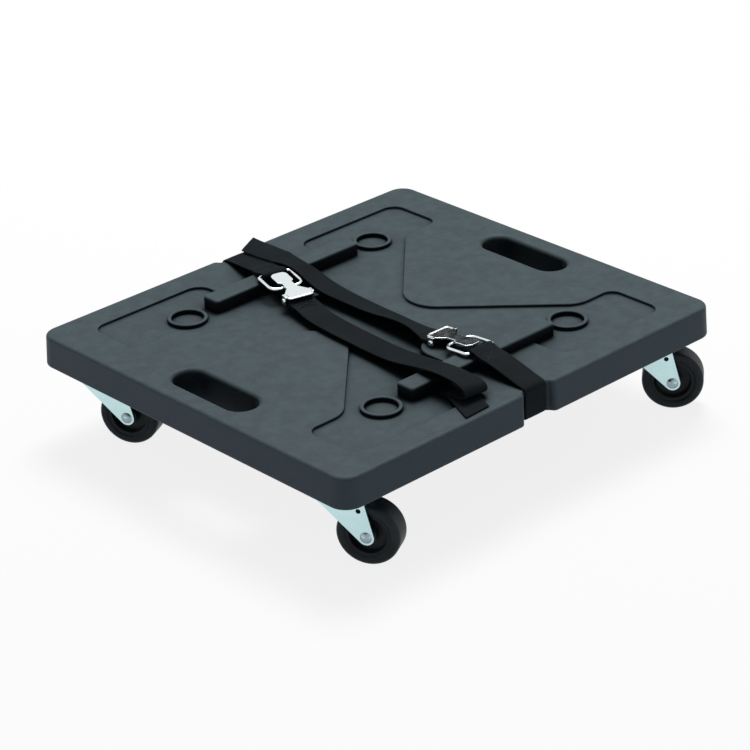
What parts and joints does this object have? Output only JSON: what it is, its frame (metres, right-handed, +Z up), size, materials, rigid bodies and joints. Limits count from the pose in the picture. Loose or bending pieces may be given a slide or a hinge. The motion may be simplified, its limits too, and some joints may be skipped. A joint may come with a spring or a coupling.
{
  "type": "caster board",
  "caption": "Low moulded platform on swivel casters that carries a rack case, with hand holes, foot cups and a hooked webbing tie-down.",
  "frame": {"origin": "on the floor under the middle of the deck", "axes": "+X along the deck's length, +Z up, -Y towards the front edge"},
  "size_m": [0.6185, 0.5581, 0.1597],
  "materials": {
    "deck_plastic": "fine grained black",
    "insert_brass": "plain",
    "webbing": "woven black",
    "plated_steel": "bright plated",
    "zinc_steel": "bright zinc",
    "fastener_steel": "zinc",
    "wheel_plastic": "black",
    "wheel_rubber": "smooth black"
  },
  "bodies": {
    "deck": {"deck_shell": "deck_plastic", "caster_inserts": "insert_brass", "deck_strap": "webbing", "back_strap": "webbing", "front_strap": "webbing", "back_loop": "plated_steel", "front_loop": "plated_steel", "front_left_top_plate": "zinc_steel", "front_left_mount_bolts": "fastener_steel", "front_left_king_pin": "fastener_steel", "front_right_top_plate": "zinc_steel", "front_right_mount_bolts": "fastener_steel", "front_right_king_pin": "fastener_steel", "back_left_top_plate": "zinc_steel", "back_left_mount_bolts": "fastener_steel", "back_left_king_pin": "fastener_steel", "back_right_top_plate": "zinc_steel", "back_right_mount_bolts": "fastener_steel", "back_right_king_pin": "fastener_steel"},
    "front_left_swivel": {"front_left_fork": "zinc_steel", "front_left_race_balls": "fastener_steel", "front_left_axle_bolt": "fastener_steel", "front_left_axle_nut": "fastener_steel", "front_left_axle_sleeve": "fastener_steel"},
    "front_left_wheel": {"front_left_wheel_core": "wheel_plastic", "front_left_wheel_tyre": "wheel_rubber"},
    "front_right_swivel": {"front_right_fork": "zinc_steel", "front_right_race_balls": "fastener_steel", "front_right_axle_bolt": "fastener_steel", "front_right_axle_nut": "fastener_steel", "front_right_axle_sleeve": "fastener_steel"},
    "front_right_wheel": {"front_right_wheel_core": "wheel_plastic", "front_right_wheel_tyre": "wheel_rubber"},
    "back_left_swivel": {"back_left_fork": "zinc_steel", "back_left_race_balls": "fastener_steel", "back_left_axle_bolt": "fastener_steel", "back_left_axle_nut": "fastener_steel", "back_left_axle_sleeve": "fastener_steel"},
    "back_left_wheel": {"back_left_wheel_core": "wheel_plastic", "back_left_wheel_tyre": "wheel_rubber"},
    "back_right_swivel": {"back_right_fork": "zinc_steel", "back_right_race_balls": "fastener_steel", "back_right_axle_bolt": "fastener_steel", "back_right_axle_nut": "fastener_steel", "back_right_axle_sleeve": "fastener_steel"},
    "back_right_wheel": {"back_right_wheel_core": "wheel_plastic", "back_right_wheel_tyre": "wheel_rubber"},
    "back_hook_body": {"back_hook": "plated_steel", "back_hook_pin": "plated_steel"},
    "front_hook_body": {"front_hook": "plated_steel", "front_hook_pin": "plated_steel"}
  },
  "joints": [
    {"name": "front_left_swivel_turn", "type": "hinge", "parent": "deck", "child": "front_left_swivel", "pos_m": [-0.255, -0.212, 0.0905], "axis": [0, 0, 1], "continuous": true},
    {"name": "front_left_wheel_roll", "type": "hinge", "parent": "front_left_swivel", "child": "front_left_wheel", "pos_m": [-0.23973, -0.24012, 0.038], "axis": [0.8788, 0.4772, 0], "continuous": true},
    {"name": "front_right_swivel_turn", "type": "hinge", "parent": "deck", "child": "front_right_swivel", "pos_m": [0.255, -0.212, 0.0905], "axis": [0, 0, 1], "continuous": true},
    {"name": "front_right_wheel_roll", "type": "hinge", "parent": "front_right_swivel", "child": "front_right_wheel", "pos_m": [0.27557, -0.23651, 0.038], "axis": [0.766, 0.6428, 0], "continuous": true},
    {"name": "back_left_swivel_turn", "type": "hinge", "parent": "deck", "child": "back_left_swivel", "pos_m": [-0.255, 0.212, 0.0905], "axis": [0, 0, 1], "continuous": true},
    {"name": "back_left_wheel_roll", "type": "hinge", "parent": "back_left_swivel", "child": "back_left_wheel", "pos_m": [-0.24047, 0.18349, 0.038], "axis": [0.891, 0.454, 0], "continuous": true},
    {"name": "back_right_swivel_turn", "type": "hinge", "parent": "deck", "child": "back_right_swivel", "pos_m": [0.255, 0.212, 0.0905], "axis": [0, 0, 1], "continuous": true},
    {"name": "back_right_wheel_roll", "type": "hinge", "parent": "back_right_swivel", "child": "back_right_wheel", "pos_m": [0.27335, 0.18579, 0.038], "axis": [0.8192, 0.5736, 0], "continuous": true},
    {"name": "back_hook_tip", "type": "hinge", "parent": "deck", "child": "back_hook_body", "pos_m": [-0.03899, 0.09829, 0.14791], "axis": [0.9703, -0.2419, 0], "range_deg": [0, 16]},
    {"name": "front_hook_tip", "type": "hinge", "parent": "deck", "child": "front_hook_body", "pos_m": [0.00243, -0.11241, 0.14791], "axis": [-0.9998, 0.0175, 0], "range_deg": [0, 16]}
  ]
}
